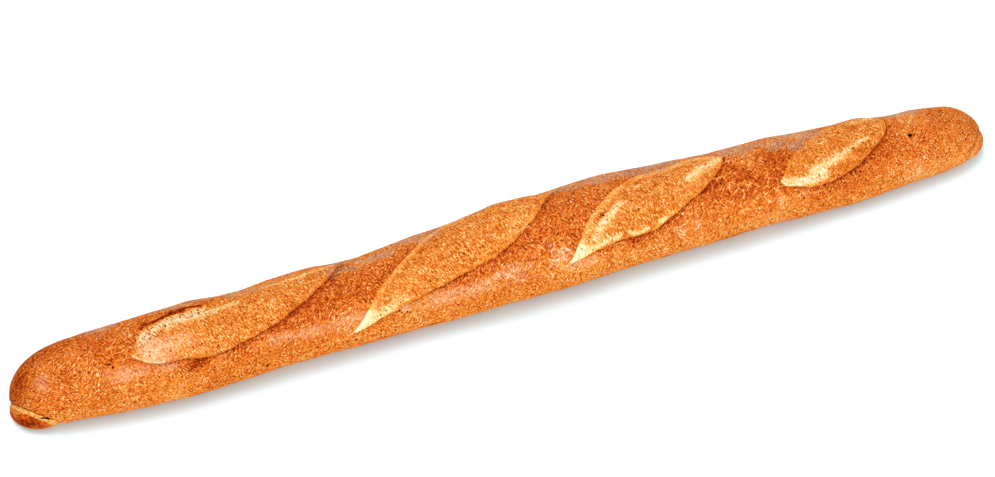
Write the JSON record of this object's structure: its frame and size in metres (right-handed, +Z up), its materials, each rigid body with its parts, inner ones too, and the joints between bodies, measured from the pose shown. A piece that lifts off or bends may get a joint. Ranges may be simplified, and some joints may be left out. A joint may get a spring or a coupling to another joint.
{
  "type": "baguette",
  "caption": "Long thin loaf of crusty white bread with slanting opened cuts along its top, round ends and a flat base.",
  "frame": {"origin": "middle of the flat base the loaf rests on, at the middle of the bounding box", "axes": "+X along the loaf, towards the picture's right end; +Z up; -Y is the front side that the picture shows"},
  "size_m": [0.6214, 0.0608, 0.0509],
  "materials": {
    "crust": "browned bread crust, satin, paler golden in the opened cuts"
  },
  "bodies": {
    "root": {"baguette": "crust"}
  },
  "joints": []
}
